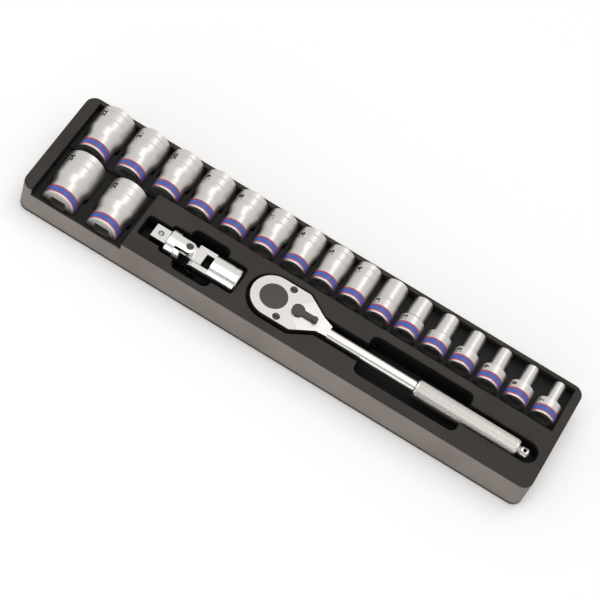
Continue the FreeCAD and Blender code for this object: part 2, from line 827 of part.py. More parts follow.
finished["joint_block"] = cut("joint_block", box(
    "joint_bar", joint_point(block_left, -block_half, -block_half),
    joint_point(s.joint_block_end, block_half, block_half)), [
    cylinder("block_socket_hole", "y", joint_point(0, -s.joint_block, 0), hole_radius, s.joint_block * 2),
    cylinder("block_drive_hole", "z", joint_point(drive_pin_x, 0, -s.joint_block), hole_radius,
             s.joint_block * 2),
])
finished["joint_socket_pin"] = cylinder(
    "joint_socket_pin", "y", joint_point(0, -pin_end, 0), pin_radius, pin_end * 2)
finished["joint_drive_pin"] = cylinder(
    "joint_drive_pin", "z", joint_point(drive_pin_x, 0, -pin_end), pin_radius, pin_end * 2)
finished["joint_ball"] = ball("joint_ball", joint_point(ball_x, 0, ball_centre), ball_radius)


def spring_tube(label, axis, point, radius, height):
    point = [as_size(value) for value in point]
    outside = cylinder(label + "_outside", axis, point, radius, height)
    start = list(point)
    letter = "xyz".index(axis)
    start[letter] = start[letter] - 1
    inside = cylinder(label + "_inside", axis, start, radius - s.spring_wall, height + 2)
    return cut(label, outside, [inside])


ball_back = ball_centre - ball_radius
finished["joint_ball_spring"] = spring_tube("joint_ball_spring", "z", joint_point(ball_x, 0, ball_hole_floor),
                                            ball_radius - s.spring_slack, ball_back - ball_hole_floor)


# Ratchet body: round head, shoulders, tapered neck, rounded shank, round grip and end knob

def head_point(x, y=0, z=0):
    return (head_x + x, ratchet_y + y, head_z + z)


middle = s.head_thickness / 2
shank_half = s.shank_width / 2
grip_radius = s.grip_diameter / 2
knob_radius = s.knob_diameter / 2
grip_end = s.grip_start + s.grip_length
cover_low = s.head_thickness - s.cover_thickness
shank_low = middle - s.shank_height / 2
shank_high = middle + s.shank_height / 2
shank_end = s.grip_start + s.grip_chamfer
shank = common("shank", [
    box("shank_bar", head_point(s.neck_reach - s.shank_lap, -shank_half, shank_low),
        head_point(shank_end, shank_half, shank_high)),
    cylinder("shank_rounding", "x", head_point(s.neck_reach - s.shank_lap, 0, middle), s.shank_round,
             shank_end - s.neck_reach + s.shank_lap),
])
ratchet_solid = fuse("ratchet_solid", [
    cylinder("head_round", "z", head_point(0), s.head_radius, s.head_thickness),
    box("head_shoulders", head_point(0, -s.head_radius),
        head_point(s.head_shoulder, s.head_radius, s.head_thickness)),
    taper("head_neck", head_point(s.head_shoulder), s.neck_reach - s.head_shoulder,
          (s.head_radius, 0, s.head_thickness), (s.neck_width / 2, 0, s.head_thickness)),
    taper("neck_slope", head_point(s.neck_reach), s.neck_slope,
          (s.neck_width / 2, 0, s.head_thickness), (shank_half, shank_low, shank_high)),
    shank,
    cone("grip_front", "x", head_point(s.grip_start, 0, middle), grip_radius - s.grip_chamfer, grip_radius,
         s.grip_chamfer),
    cylinder("grip", "x", head_point(s.grip_start + s.grip_chamfer, 0, middle), grip_radius,
             s.grip_length - s.grip_chamfer - s.grip_end_taper),
    cone("grip_back", "x", head_point(grip_end - s.grip_end_taper, 0, middle), grip_radius,
         knob_radius - s.grip_chamfer, s.grip_end_taper),
    cylinder("knob", "x", head_point(grip_end - s.grip_chamfer, 0, middle), knob_radius - s.grip_chamfer,
             s.grip_chamfer * 2),
    cone("knob_front", "x", head_point(grip_end, 0, middle), knob_radius - s.grip_chamfer, knob_radius,
         s.grip_chamfer),
    cylinder("knob_round", "x", head_point(grip_end + s.grip_chamfer, 0, middle), knob_radius,
             s.knob_length - s.grip_chamfer * 2),
    cone("knob_back", "x", head_point(ratchet_reach - s.grip_chamfer, 0, middle), knob_radius,
         knob_radius - s.grip_chamfer, s.grip_chamfer),
])
disc_radius = s.disc_diameter / 2
cavity_radius = s.gear_radius + s.gear_room
pivot = s.gear_radius + s.pivot_reach
shaft_radius = s.lever_shaft / 2
hub_radius = s.pawl_hub / 2
plunger_radius = s.plunger_diameter / 2
pawl_cavity_end = pivot + hub_radius + s.plunger_gap
tip_radius = s.gear_radius + s.pawl_tip_gap
tip_turn = math.radians(PAWL_TIP_ANGLE)
pawl_tip = (tip_radius * math.cos(tip_turn), tip_radius * math.sin(tip_turn))
back_turn = math.radians(PAWL_TIP_ANGLE + PAWL_FLANK_ANGLE)
front_turn = math.radians(PAWL_TIP_ANGLE - PAWL_FLANK_ANGLE)
pawl_back = (pawl_tip[0] + s.pawl_flank * math.cos(back_turn),
             pawl_tip[1] + s.pawl_flank * math.sin(back_turn))
pawl_front = (pawl_tip[0] + s.pawl_flank * math.cos(front_turn),
              pawl_tip[1] + s.pawl_flank * math.sin(front_turn))
pawl_cavity_half = pawl_back[1] + s.pawl_room
cover_blank = cut("cover_space", box(
    "cover_slab", head_point(-s.head_radius - 1, -s.head_radius - 1, cover_low),
    head_point(s.neck_reach, s.head_radius + 1, s.head_thickness + 1)), [
    primitive("Part::Box", "cover_notch_space", {"Length": s.neck_reach * 2, "Width": s.neck_reach * 2,
                                                 "Height": s.head_thickness},
              head_point(s.cover_point, 0, middle), FreeCAD.Rotation(FreeCAD.Vector(0, 0, 1), -45))])
screw_points = [(s.screw_reach, s.screw_spread), (s.screw_reach, -s.screw_spread)]
plunger_start = pivot + hub_radius + s.plunger_gap
plunger_end = plunger_start + s.plunger_length
plunger_hole_end = plunger_end + s.plunger_spring
pawl_middle = (s.head_floor + cover_low) / 2
body_holes = [
    cover_blank,
    cylinder("gear_cavity", "z", head_point(0, 0, s.head_floor), cavity_radius, s.head_thickness),
    cylinder("drive_hole", "z", head_point(0, 0, -s.head_thickness), disc_radius + s.running_fit,
             s.head_thickness * 2),
    box("pawl_cavity", head_point(pawl_tip[0] - s.pawl_flank, -pawl_cavity_half, s.head_floor),
        head_point(pawl_cavity_end, pawl_cavity_half, cover_low)),
    cylinder("lever_hole", "z", head_point(pivot, 0, s.lever_seat), shaft_radius + s.running_fit,
             s.head_thickness),
    cylinder("plunger_hole", "x", head_point(pivot, 0, pawl_middle), plunger_radius + s.running_fit,
             plunger_hole_end - pivot),
    cylinder("knob_hang_hole", "z", head_point(grip_end + s.knob_length / 2), s.knob_hole / 2,
             s.head_thickness),
]
for number, (x, y) in enumerate(screw_points, start=1):
    body_holes.append(cylinder(f"screw_seat_{number}", "z", head_point(x, y, cover_low - s.screw_length),
                               s.screw_shank / 2, s.screw_length + 1))
finished["ratchet_body"] = cut("ratchet_body", ratchet_solid, body_holes)

# Cover plate and its two screws

cover_solid = fuse("cover_solid", [
    cylinder("cover_round", "z", head_point(0, 0, cover_low), s.head_radius, s.cover_thickness),
    box("cover_shoulders", head_point(0, -s.head_radius, cover_low),
        head_point(s.head_shoulder, s.head_radius, s.head_thickness)),
    common("cover_neck", [
        taper("cover_taper", head_point(s.head_shoulder), s.neck_reach - s.head_shoulder,
              (s.head_radius, 0, s.head_thickness), (s.neck_width / 2, 0, s.head_thickness)),
        box("cover_neck_slab", head_point(s.head_shoulder, -s.head_radius, cover_low),
            head_point(s.neck_reach, s.head_radius, s.head_thickness)),
    ]),
])
cover_holes = [
    cylinder("cover_hole", "z", head_point(0, 0, middle), disc_radius + s.running_fit, s.head_thickness),
    primitive("Part::Box", "cover_notch", {"Length": s.neck_reach * 2, "Width": s.neck_reach * 2,
                                           "Height": s.head_thickness},
              head_point(s.cover_point, 0, middle), FreeCAD.Rotation(FreeCAD.Vector(0, 0, 1), -45)),
]
screws = []
screw_head_low = s.head_thickness - s.screw_head_height
for number, (x, y) in enumerate(screw_points, start=1):
    cover_holes.append(cylinder(f"cover_screw_hole_{number}", "z", head_point(x, y, middle),
                                s.screw_shank / 2, s.head_thickness))
    cover_holes.append(cylinder(f"cover_screw_sink_{number}", "z", head_point(x, y, screw_head_low),
                                s.screw_head / 2, s.head_thickness))
    screw = fuse(f"screw_{number}", [
        cylinder(f"screw_{number}_head", "z", head_point(x, y, screw_head_low), s.screw_head / 2,
                 s.screw_head_height),
        cylinder(f"screw_{number}_shank", "z", head_point(x, y, cover_low - s.screw_length),
                 s.screw_shank / 2, s.head_thickness - cover_low + s.screw_length - s.screw_slot),
    ])
    slot = box(f"screw_{number}_slot",
               head_point(x - s.screw_head, y - s.screw_slot / 2, s.head_thickness - s.screw_slot),
               head_point(x + s.screw_head, y + s.screw_slot / 2, s.head_thickness + 1))
    screws.append(cut(f"cover_screw_{number}", screw, [slot]))
finished["cover_plate"] = cut("cover_plate", cover_solid, cover_holes)
finished["cover_screws"] = doc.addObject("Part::Compound", "cover_screws")
finished["cover_screws"].Links = screws

# Drive gear: toothed ring with a disc on top and the square anvil below

gear = new_body("drive_gear")
gear_low = s.head_floor + s.gear_end_gap
gear_high = cover_low - s.gear_end_gap
lathe(gear, "gear_turned", [
    (0, 0), (disc_radius, 0), (disc_radius, gear_low), (s.gear_radius, gear_low), (s.gear_radius, gear_high),
    (disc_radius, gear_high), (disc_radius, s.head_thickness), (0, s.head_thickness),
])
root_radius = s.gear_radius - s.tooth_depth
notch_half = s.gear_radius * (math.pi / GEAR_TEETH) - s.tooth_land / 2
notch = polygon(gear, "tooth_notch", "XY_Plane", [
    (root_radius, 0), (s.gear_radius, -notch_half), (s.gear_radius + s.tooth_depth, -notch_half * 2),
    (s.gear_radius + s.tooth_depth, notch_half * 2), (s.gear_radius, notch_half)], s.head_thickness)
tooth_gap = pocket(gear, "tooth_gap", notch, s.head_thickness)
teeth = gear.newObject("PartDesign::PolarPattern", "teeth")
teeth.Originals = [tooth_gap]
teeth.Axis = (notch, ["N_Axis"])
teeth.Angle = 360
teeth.Occurrences = GEAR_TEETH
gear.Tip = teeth
anvil = polygon(gear, "anvil_square", "XY_Plane", square_points(s.drive_square))
pad(gear, "anvil", anvil, s.anvil_length, upward=False)
anvil_ball_z = s.ball_height - s.anvil_length
ball_seat = circle(gear, "ball_seat", "XZ_Plane", (0, anvil_ball_z), ball_radius + s.ball_fit, s.drive_square)
ball_pocket = pocket(gear, "ball_pocket", ball_seat, s.drive_square + square_side - s.ball_well)
place(gear, head_point(0))
finished["drive_gear"] = gear
finished["drive_ball"] = ball("drive_ball", head_point(0, -ball_centre, anvil_ball_z), ball_radius)
spring_start = s.ball_travel + s.spring_slack - ball_back
finished["drive_ball_spring"] = spring_tube(
    "drive_ball_spring", "y", head_point(0, spring_start, anvil_ball_z), ball_radius - s.spring_slack,
    square_side - s.ball_well - spring_start)

# Direction lever, pawl, plunger and its spring

lever_low = s.head_thickness + s.lever_gap
lever_high = lever_low + s.lever_thickness
tail_half = s.lever_tail_width / 2
finished["direction_lever"] = fuse("direction_lever", [
    cylinder("lever_round", "z", head_point(pivot, 0, lever_low), s.lever_disc / 2, s.lever_thickness),
    box("lever_tail", head_point(pivot, -tail_half, lever_low),
        head_point(pivot + s.lever_tail - tail_half, tail_half, lever_high)),
    cylinder("lever_thumb", "z", head_point(pivot + s.lever_tail - tail_half, 0, lever_low), tail_half,
             s.lever_thickness + s.lever_thumb),
    cylinder("lever_shaft", "z", head_point(pivot, 0, s.lever_seat), shaft_radius, lever_high - s.lever_seat),
])
pawl = new_body("pawl")
pawl_low = s.head_floor + s.pawl_end_gap
pawl_height = cover_low - s.pawl_end_gap - pawl_low
outer = [pawl_tip, pawl_back, (pivot, hub_radius)]
inner = [pawl_front, (pawl_front[0], hub_radius / 2)]
lower = [(x, -y) for x, y in reversed(outer)]
inner_lower = [(x, -y) for x, y in inner]
pawl_plan = polygon(pawl, "pawl_plan", "XY_Plane", outer + lower + inner_lower + inner[::-1], pawl_low)
pad(pawl, "pawl_plate", pawl_plan, pawl_height)
hub_plan = circle(pawl, "pawl_hub_plan", "XY_Plane", (pivot, 0), hub_radius, pawl_low)
pad(pawl, "pawl_hub", hub_plan, pawl_height)
pawl_bore = circle(pawl, "pawl_bore_plan", "XY_Plane", (pivot, 0), shaft_radius + s.running_fit, pawl_low)
pocket(pawl, "pawl_bore", pawl_bore, pawl_height, upward=True)
place(pawl, head_point(0))
finished["pawl"] = pawl
finished["pawl_plunger"] = fuse("pawl_plunger", [
    cone("plunger_nose", "x", head_point(plunger_start, 0, pawl_middle), plunger_radius / 2, plunger_radius,
         plunger_radius / 2),
    cylinder("plunger_body", "x", head_point(plunger_start + plunger_radius / 2, 0, pawl_middle),
             plunger_radius, s.plunger_length - plunger_radius / 2),
])
finished["pawl_spring"] = spring_tube("pawl_spring", "x", head_point(plunger_end, 0, pawl_middle),
                                      plunger_radius - s.spring_slack / 2, s.plunger_spring)

# Check every object and write the parts

doc.recompute()
for item in doc.Objects:
    if "Invalid" in item.State or "Error" in item.State:
        raise RuntimeError(f"{item.Label} did not recompute: {item.State}")
os.makedirs("parts", exist_ok=True)
for label, item in finished.items():
    item.Label = label
    if item.Shape.isNull() or not item.Shape.isValid():
        raise RuntimeError(f"{label} has no valid shape")
    item.Shape.exportStep(f"parts/{label}.step")
    size = item.Shape.BoundBox
    print(f"{label}: {len(item.Shape.Solids)} solid, {item.Shape.Volume / 1000:.2f} cm3, "
          f"{size.XLength:.1f} x {size.YLength:.1f} x {size.ZLength:.1f}")
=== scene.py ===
# %% [markdown]
# A socket set in a moulded tray. The imported solids come in as a fixed frame, in metres.
# They already have the right shapes, so this lesson gives them finishes and adds what is too fine for the solids:
# the knurl on the ratchet's grip and the size numbers on the sockets.
# Values whose names end in MM are millimetres, and a factor of 1000 takes them to Blender's metres.

# %% Load the frame
import math
import bmesh
import bpy
import numpy as np
from mathutils import Matrix, Vector


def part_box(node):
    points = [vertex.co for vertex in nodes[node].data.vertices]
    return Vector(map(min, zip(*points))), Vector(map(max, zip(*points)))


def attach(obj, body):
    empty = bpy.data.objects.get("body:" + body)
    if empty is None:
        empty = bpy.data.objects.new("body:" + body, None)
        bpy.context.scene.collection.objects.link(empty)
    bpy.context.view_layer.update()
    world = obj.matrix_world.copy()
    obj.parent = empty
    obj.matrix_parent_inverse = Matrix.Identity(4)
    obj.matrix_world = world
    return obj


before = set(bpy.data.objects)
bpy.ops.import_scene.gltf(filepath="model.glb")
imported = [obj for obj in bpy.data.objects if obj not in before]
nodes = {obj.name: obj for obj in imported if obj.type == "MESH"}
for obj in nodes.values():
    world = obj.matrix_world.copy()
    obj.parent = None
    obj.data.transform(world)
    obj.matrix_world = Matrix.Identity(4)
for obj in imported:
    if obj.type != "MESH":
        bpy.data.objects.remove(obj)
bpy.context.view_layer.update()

SOCKETS = [f"socket_{number:02d}" for number in range(7, 25)]


# %% [markdown]
# Colours are written as sRGB hex, as a paint card gives them. Blender's shaders work in linear light,
# so one function turns the hex into linear numbers. A second function adds a node, sets it and wires it,
# which keeps every material below short enough to read as a recipe.

# %% Colour and node helpers
def linear(hex_code):
    """Linear colour of an sRGB hex code: c / 12.92 when dark, else ((c + 0.055) / 1.055) ** 2.4."""
    parts = np.array([int(hex_code[i:i + 2], 16) for i in (1, 3, 5)]) / 255
    light = np.where(parts <= 0.04045, parts / 12.92, ((parts + 0.055) / 1.055) ** 2.4)
    return (*light.tolist(), 1.0)


def add(owner, kind, settings=None, links=None, stops=None):
    """Adds one node to a material or world: sets properties and inputs, links inputs, places a ramp's stops."""
    node = owner.node_tree.nodes.new(kind)
    for name, value in (settings or {}).items():
        if isinstance(name, int) or name in node.inputs:
            node.inputs[name].default_value = value
        else:
            setattr(node, name, value)
    for name, output in (links or {}).items():
        owner.node_tree.links.new(output, node.inputs[name])
    if stops:
        elements = node.color_ramp.elements
        elements.remove(elements[1])
        elements[0].position, elements[0].color = stops[0]
        for position, colour in stops[1:]:
            elements.new(position).color = colour
    return node


# A Mix node keeps the inputs of all its data types in one list; these are the places of the colour ones.
MIX_FACTOR, MIX_A, MIX_B, MIX_RESULT = 0, 6, 7, 2
# A ramp that works as a mask goes between these two colours.
MASK_OFF, MASK_ON = (0, 0, 0, 1), (1, 1, 1, 1)


def new_material(name):
    """Material with an empty node tree."""
    material = bpy.data.materials.new(name)
    material.use_nodes = True
    material.node_tree.nodes.clear()
    return material


def finish_material(material, shader_settings, shader_links=None):
    """Closes a material with one Principled shader."""
    shader = add(material, "ShaderNodeBsdfPrincipled", shader_settings, shader_links)
    add(material, "ShaderNodeOutputMaterial", None, {"Surface": shader.outputs["BSDF"]})
    return material


def dress(names, material):
    """Gives the solids of these names one material."""
    for name in names:
        slots = nodes[name].data.materials
        slots.clear()
        slots.append(material)


print("white in linear light:", linear("#ffffff"))


# %% [markdown]
# The camera stands where the photographer stood. The tray's four rim corners, taken as right angles, gave the view:
# about a metre and three quarters away, 57 degrees up, with the picture turned by a quarter of a right angle.
# A long lens keeps the sides of the tray nearly parallel.

# %% Camera
VIEW_AZIMUTH = math.radians(9.07)
VIEW_ELEVATION = math.radians(57.44)
VIEW_ROLL = math.radians(23.52)
CAMERA_PLACE = (0.1518, -0.9459, 1.5134)
SENSOR_MM = 36.0
LENS_MM = 135.0
back = Vector((math.cos(VIEW_ELEVATION) * math.sin(VIEW_AZIMUTH),
               -math.cos(VIEW_ELEVATION) * math.cos(VIEW_AZIMUTH), math.sin(VIEW_ELEVATION)))
right = Vector((math.cos(VIEW_AZIMUTH), math.sin(VIEW_AZIMUTH), 0))
up = right.cross(-back)
camera_right = math.cos(VIEW_ROLL) * right + math.sin(VIEW_ROLL) * up
camera_up = -math.sin(VIEW_ROLL) * right + math.cos(VIEW_ROLL) * up
camera_data = bpy.data.cameras.new("camera")
camera_data.sensor_width = SENSOR_MM
camera_data.lens = LENS_MM
camera = bpy.data.objects.new("camera", camera_data)
turn = Matrix((camera_right, camera_up, back)).transposed().to_4x4()
camera.matrix_world = Matrix.Translation(CAMERA_PLACE) @ turn
bpy.context.scene.collection.objects.link(camera)
bpy.context.scene.camera = camera
print("camera at", tuple(round(value, 3) for value in camera.location))


# %% [markdown]
# A catalogue photograph stands on a sheet of white paper. The paper could be lit until it is white, but that would
# burn out the chrome too. Instead it has a faint light of its own that only the camera sees, and so it is white at a
# plain level of light and still keeps the tray's soft shadow.

# %% Floor
scene = bpy.context.scene
scene.view_settings.view_transform = "Standard"
FLOOR_HALF = 3.0
FLOOR_GLOW = 0.16
floor_mesh = bpy.data.meshes.new("floor")
floor_mesh.from_pydata([(-FLOOR_HALF, -FLOOR_HALF, 0), (FLOOR_HALF, -FLOOR_HALF, 0),
                        (FLOOR_HALF, FLOOR_HALF, 0), (-FLOOR_HALF, FLOOR_HALF, 0)], [], [(0, 1, 2, 3)])
floor = bpy.data.objects.new("floor", floor_mesh)
scene.collection.objects.link(floor)
# Matt paper: no gloss at all, so the shadow is the only thing on it.
paper = new_material("paper_white_matt")
ray = add(paper, "ShaderNodeLightPath")
lift = add(paper, "ShaderNodeMath", {"operation": "MULTIPLY", 1: FLOOR_GLOW}, {0: ray.outputs["Is Camera Ray"]})
finish_material(paper, {"Base Color": linear("#fbfbfb"), "Roughness": 0.9, "Emission Color": linear("#ffffff")},
                {"Emission Strength": lift.outputs[0]})
floor_mesh.materials.append(paper)
print("floor side in metres:", 2 * FLOOR_HALF)


# %% [markdown]
# Metal needs large pale surfaces around it, because chrome shows only what it reflects. So the world is plain white
# to the camera and in the metal, and a softer light for everything else. The wall behind the photographer is dark, as
# it is in most studios: round bars that lie across the view mirror it as one dark line along their middle.

# %% Studio around the set
DARK_WALL_HALF = (0.6, 0.24)  # half its width and height, as shares of the sphere of directions
DARK_WALL_CORE = 0.55  # the share of it that is fully dark before it fades to white
SOFT_LIGHT = 0.62
world = bpy.data.worlds.new("studio")
scene.world = world
world.use_nodes = True
world.node_tree.nodes.clear()
path = add(world, "ShaderNodeLightPath")
way = add(world, "ShaderNodeTexCoord")
turned = add(world, "ShaderNodeMapping", {"Rotation": (VIEW_ELEVATION - math.pi / 2, 0, 0)},
             {"Vector": way.outputs["Generated"]})
spread = add(world, "ShaderNodeVectorMath",
             {"operation": "MULTIPLY", 1: (1 / DARK_WALL_HALF[0], 1 / DARK_WALL_HALF[1], 0)},
             {0: turned.outputs["Vector"]})
away = add(world, "ShaderNodeVectorMath", {"operation": "LENGTH"}, {0: spread.outputs["Vector"]})
tent = add(world, "ShaderNodeValToRGB", None, {"Fac": away.outputs["Value"]},
           [(DARK_WALL_CORE, linear("#1c1b1a")), (1.0, linear("#ffffff"))])
plain = add(world, "ShaderNodeBackground", {"Color": linear("#ffffff"), "Strength": 1.0})
mirrored = add(world, "ShaderNodeBackground", {"Strength": 1.0}, {"Color": tent.outputs["Color"]})
soft = add(world, "ShaderNodeBackground", {"Color": linear("#f6f4f2"), "Strength": SOFT_LIGHT})
shiny = add(world, "ShaderNodeMath", {"operation": "MAXIMUM"},
            {0: path.outputs["Is Glossy Ray"], 1: path.outputs["Is Transmission Ray"]})
seen = add(world, "ShaderNodeMixShader", None,
           {0: shiny.outputs[0], 1: soft.outputs["Background"], 2: mirrored.outputs["Background"]})
either = add(world, "ShaderNodeMixShader", None,
             {0: path.outputs["Is Camera Ray"], 1: seen.outputs["Shader"], 2: plain.outputs["Background"]})
add(world, "ShaderNodeOutputWorld", None, {"Surface": either.outputs["Shader"]})
print("world nodes:", len(world.node_tree.nodes))


# %% [markdown]
# Two big soft lamps give the set its form: a long one overhead, which draws the pale line on top of each socket, and
# a low one in front, which opens up the tray's front wall.

# %% Lamps
def soft_lamp(name, place, target, size, watts):
    """Area lamp of a width and a depth in metres, aimed from its place at a target."""
    data = bpy.data.lights.new(name, "AREA")
    data.shape = "RECTANGLE"
    data.size, data.size_y = size
    data.energy = watts
    lamp = bpy.data.objects.new(name, data)
    aim = (Vector(target) - Vector(place)).to_track_quat("-Z", "Y")
    lamp.matrix_world = Matrix.Translation(place) @ aim.to_matrix().to_4x4()
    scene.collection.objects.link(lamp)


soft_lamp("overhead", place=(-0.1, 0.05, 2.0), target=(0, 0, 0), size=(3.4, 0.7), watts=16)
soft_lamp("front", place=(-0.3, -2.2, 0.7), target=(0, 0, 0.02), size=(2.6, 0.9), watts=10)
print("lamps:", [item.name for item in bpy.data.lights])


# %% [markdown]
# The tray is one moulding of dark polystyrene. Its outer walls are painted a paler grey, a painted sheen for the light
# they catch from the front; the foot is painted near black as shade, and the round rim keeps the deck's dark colour.
# The walls could be a second material on picked faces, but the solid is one skin of loose triangles. So a mask finds
# them: how far a point lies out in the tray's rounded outline, and how high.

# %% Mask of the tray's outer walls, for the painted sheen
CORNER_MM = 9.0  # radius of the outline's corners
WALL_MM = 1.2  # depth of the skin that counts as outer wall
FADE_MM = 0.8  # width over which the mask rises at that skin
# The foot is painted shade and the rim keeps the deck's colour: the painted sheen stops short of both.
FOOT_MM = 5.0  # height of the dark foot
RIM_MM = 1.5  # height of the dark rim
FOOT_SHADE_SHARE = 0.6  # share of the foot that is fully dark; above it the grey fades in
RIM_FADE = 0.4  # share of the rim over which the grey fades out


def outer_wall_mask(material, place, level, low, high):
    """Product of two ramps: the length of max(|p - middle| - straight, 0) past the skin, and foot < height < rim."""
    centred = add(material, "ShaderNodeMapping", {"Location": tuple(-(low + high) / 2)},
                  {"Vector": place.outputs["Object"]})
    quarter = add(material, "ShaderNodeVectorMath", {"operation": "ABSOLUTE"}, {0: centred.outputs["Vector"]})
    corner = CORNER_MM / 1000
    straight = ((high.x - low.x) / 2 - corner, (high.y - low.y) / 2 - corner, high.z)
    past = add(material, "ShaderNodeVectorMath", {"operation": "SUBTRACT", 1: straight},
               {0: quarter.outputs["Vector"]})
    outward = add(material, "ShaderNodeVectorMath", {"operation": "MAXIMUM", 1: (0, 0, 0)},
                  {0: past.outputs["Vector"]})
    reach = add(material, "ShaderNodeVectorMath", {"operation": "LENGTH"}, {0: outward.outputs["Vector"]})
    skin = corner - WALL_MM / 1000
    beside = add(material, "ShaderNodeMapRange", {"From Min": skin, "From Max": skin + FADE_MM / 1000},
                 {"Value": reach.outputs["Value"]})
    height = add(material, "ShaderNodeMapRange", {"From Min": low.z, "From Max": high.z},
                 {"Value": level.outputs["Z"]})
    span = high.z - low.z
    foot, rim = FOOT_MM / 1000 / span, 1 - RIM_MM / 1000 / span
    between = add(material, "ShaderNodeValToRGB", None, {"Fac": height.outputs["Result"]},
                  [(foot * FOOT_SHADE_SHARE, MASK_OFF), (foot, MASK_ON), (rim, MASK_ON),
                   (rim + (1 - rim) * RIM_FADE, MASK_OFF)])
    return add(material, "ShaderNodeMath", {"operation": "MULTIPLY"},
               {0: beside.outputs[0], 1: between.outputs["Color"]})


# %% [markdown]
# Inside, the tray's mould was etched, so the plastic has an even grain of about half a millimetre that swallows the
# light. Fine noise drives a shallow bump and the roughness, and a broad noise gives the faint unevenness of a cooled
# sheet. Below the deck the colour falls to near black: painted shade for the pockets, where little light gets in.

# %% Moulded tray
# Painted shade: below the deck the colour falls to near black, standing in for the pockets' shade.
DECK_MM = 2.5  # depth below the rim at which the colour is darkest
DECK_EDGE_MM = 0.5  # depth below the rim at which it starts to fall
GRAIN_MM = 0.6
GRAIN_DEPTH_MM = 0.12
SHEET_MM = 45.0  # distance over which the sheet's tone drifts


def polystyrene_etched_grain():
    """Charcoal plastic with an etched grain: a dull black deck, painted shade in the pockets, painted sheen on the
    outer walls.
    """
    material = new_material("polystyrene_moulded_etched_grain")
    low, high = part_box("tray")
    place = add(material, "ShaderNodeTexCoord")
    level = add(material, "ShaderNodeSeparateXYZ", None, {"Vector": place.outputs["Object"]})
    grain = add(material, "ShaderNodeTexNoise", {"Scale": 1000 / GRAIN_MM, "Detail": 2.0, "Roughness": 0.55},
                {"Vector": place.outputs["Object"]})
    sheet = add(material, "ShaderNodeTexNoise", {"Scale": 1000 / SHEET_MM, "Detail": 1.0},
                {"Vector": place.outputs["Object"]})
    etched = add(material, "ShaderNodeValToRGB", None, {"Fac": sheet.outputs["Fac"]},
                 [(0.3, linear("#2e2b28")), (0.7, linear("#383431"))])
    # Painted sheen: a paler grey on the outer walls that stands in for the light they catch from the front.
    painted_sheen = add(material, "ShaderNodeValToRGB", None, {"Fac": sheet.outputs["Fac"]},
                 [(0.3, linear("#7d7671")), (0.7, linear("#8a837e"))])
    # Painted shade: near black below the deck, the deck's own colour above it.
    pocket_shade = add(material, "ShaderNodeMapRange",
               {"From Min": high.z - DECK_MM / 1000, "From Max": high.z - DECK_EDGE_MM / 1000},
               {"Value": level.outputs["Z"]})
    deck_and_pocket_shade = add(material, "ShaderNodeMix", {"data_type": "RGBA", MIX_A: linear("#121110")},
                 {MIX_FACTOR: pocket_shade.outputs["Result"], MIX_B: etched.outputs["Color"]})
    # The painted sheen covers the outer walls but not the round rim or the foot, which stays in the painted shade.
    sheen_mask = outer_wall_mask(material, place, level, low, high)
    colour = add(material, "ShaderNodeMix", {"data_type": "RGBA"},
                 {MIX_FACTOR: sheen_mask.outputs[0], MIX_A: deck_and_pocket_shade.outputs[MIX_RESULT], MIX_B: painted_sheen.outputs["Color"]})
    dull = add(material, "ShaderNodeMapRange", {"To Min": 0.55, "To Max": 0.75}, {"Value": grain.outputs["Fac"]})
    relief = add(material, "ShaderNodeBump", {"Strength": 0.25, "Distance": GRAIN_DEPTH_MM / 1000},
                 {"Height": grain.outputs["Fac"]})
    return finish_material(material, {"IOR": 1.59, "Specular IOR Level": 0.2},
                           {"Base Color": colour.outputs[MIX_RESULT], "Roughness": dull.outputs["Result"],
                            "Normal": relief.outputs["Normal"]})


dress(["tray"], polystyrene_etched_grain())
print("tray dressed")


# %% [markdown]
# Each socket is turned steel, lightly polished and chromed, and two red lines with a blue band between them are
# rolled on near the drive end in lacquer. The bands could be separate rings, but paint has no thickness to speak of,
# so the material paints them by distance from the drive end. Every socket starts at another place along Y, so a
# Mapping node moves the pattern's zero to that socket's own drive end and axis. Only the outside is painted: the
# lacquer stops at the radius of the square hole.

# %% Socket chrome and lacquer
BAND_MM = [(0.0, "#cbc8c4"), (1.3, "#b83044"), (2.5, "#3a60b2"), (6.6, "#b83044"), (7.9, "#cbc8c4")]
BAND_SPAN_MM = 20.0  # the length of socket that the ramp covers
PAINT_RADIUS_MM = 9.6  # the corner of the square hole lies inside this
TURNING_MM = 0.35  # the lathe's lines are nearer 0.15 mm and are drawn coarser, so that they show
TURNING_SQUEEZE = 0.02  # squeezes the noise across the axis, which draws it out into lines round the socket
TURNING_DEPTH_MM = 0.04


